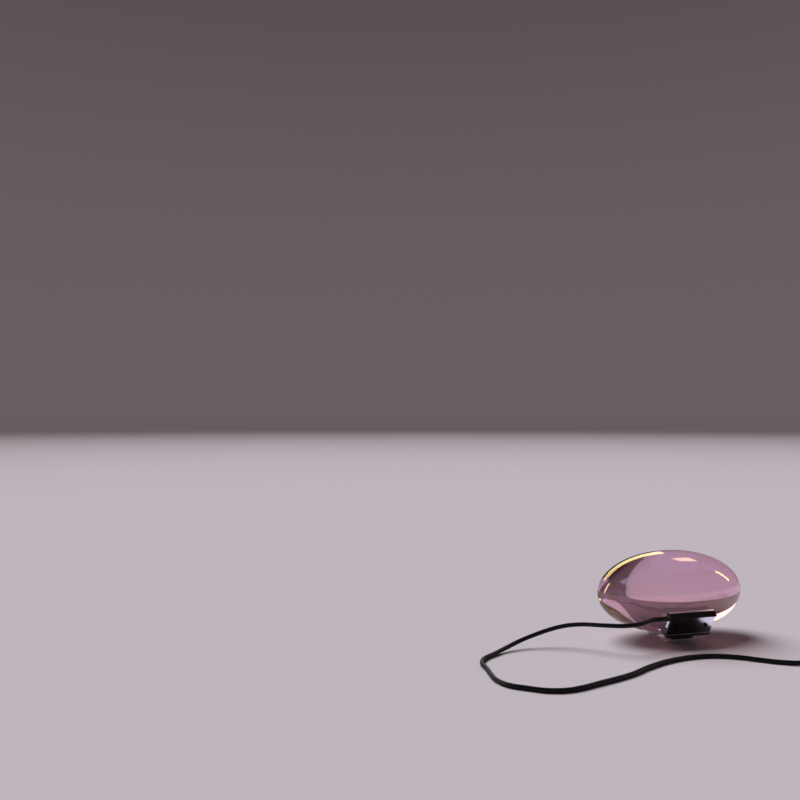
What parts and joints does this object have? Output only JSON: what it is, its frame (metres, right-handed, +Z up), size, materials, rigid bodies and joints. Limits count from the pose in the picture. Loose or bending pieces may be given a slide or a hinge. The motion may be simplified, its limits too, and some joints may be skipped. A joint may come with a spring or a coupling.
{
  "type": "table lamp",
  "caption": "Table lamp: a solid clear glass ellipsoid on a clear foot, lit from its lower front by a leaning black light bar, with a thin black lead, in-line rocker switch and plug.",
  "frame": {"origin": "on the table under the middle of the glass, at the middle of the grip sheet's underside", "axes": "+X along the glass's long axis, away from the end where the lead comes out; +Z up; the light bar is on the -Y side"},
  "size_m": [0.3966, 0.134, 0.063],
  "materials": {
    "clear_glass": "polished clear glass",
    "black_anodised": "satin black anodised",
    "clear_acrylic": "clear polished acrylic",
    "clear_silicone": "milky clear silicone",
    "screw_steel": "bright steel",
    "white_board": "white solder mask",
    "chip_phosphor": "yellow phosphor",
    "component_black": "matt black",
    "black_plastic": "satin black plastic",
    "milky_plastic": "milky light-spreading plastic",
    "colour_film": "coated colour window",
    "black_screw": "black oxide steel",
    "black_rubber": "satin black rubber",
    "wire_red": "red insulation",
    "cord_black": "satin black sheath",
    "tie_black": "black strap",
    "rocker_grey": "gloss dark grey",
    "brass": "plated brass",
    "bright_steel": "bright plated steel",
    "tongue_white": "white plastic"
  },
  "bodies": {
    "lamp": {"light_bar": "black_anodised", "foot_plate": "clear_acrylic", "grip_sheet": "clear_silicone", "cradle_strips": "clear_silicone", "foot_screws": "screw_steel", "led_board": "white_board", "led_chips": "chip_phosphor", "board_resistors": "component_black", "window_frame": "milky_plastic", "colour_window": "colour_film", "frame_screws": "black_screw", "cord_gland": "black_rubber", "lead_wires": "wire_red", "cord_lead": "cord_black", "cord_coil": "cord_black", "coil_tie": "tie_black", "switch_lower": "black_plastic", "switch_upper": "black_plastic", "switch_contacts": "brass", "switch_screws": "screw_steel", "switch_boots": "black_rubber", "plug_relief": "black_rubber", "plug_grip": "black_rubber", "plug_shell": "bright_steel", "plug_tongue": "tongue_white", "plug_contacts": "brass"},
    "glass": {"glass_egg": "clear_glass"},
    "rocker": {"switch_rocker": "rocker_grey"}
  },
  "joints": [
    {"name": "glass_lift", "type": "slide", "parent": "lamp", "child": "glass", "axis": [0, 0, 1], "range_m": [0, 0.08]},
    {"name": "rocker_tip", "type": "hinge", "parent": "lamp", "child": "rocker", "pos_m": [0.088, -0.096, 0.007], "axis": [0, -1, 0], "range_deg": [0, 16]}
  ]
}
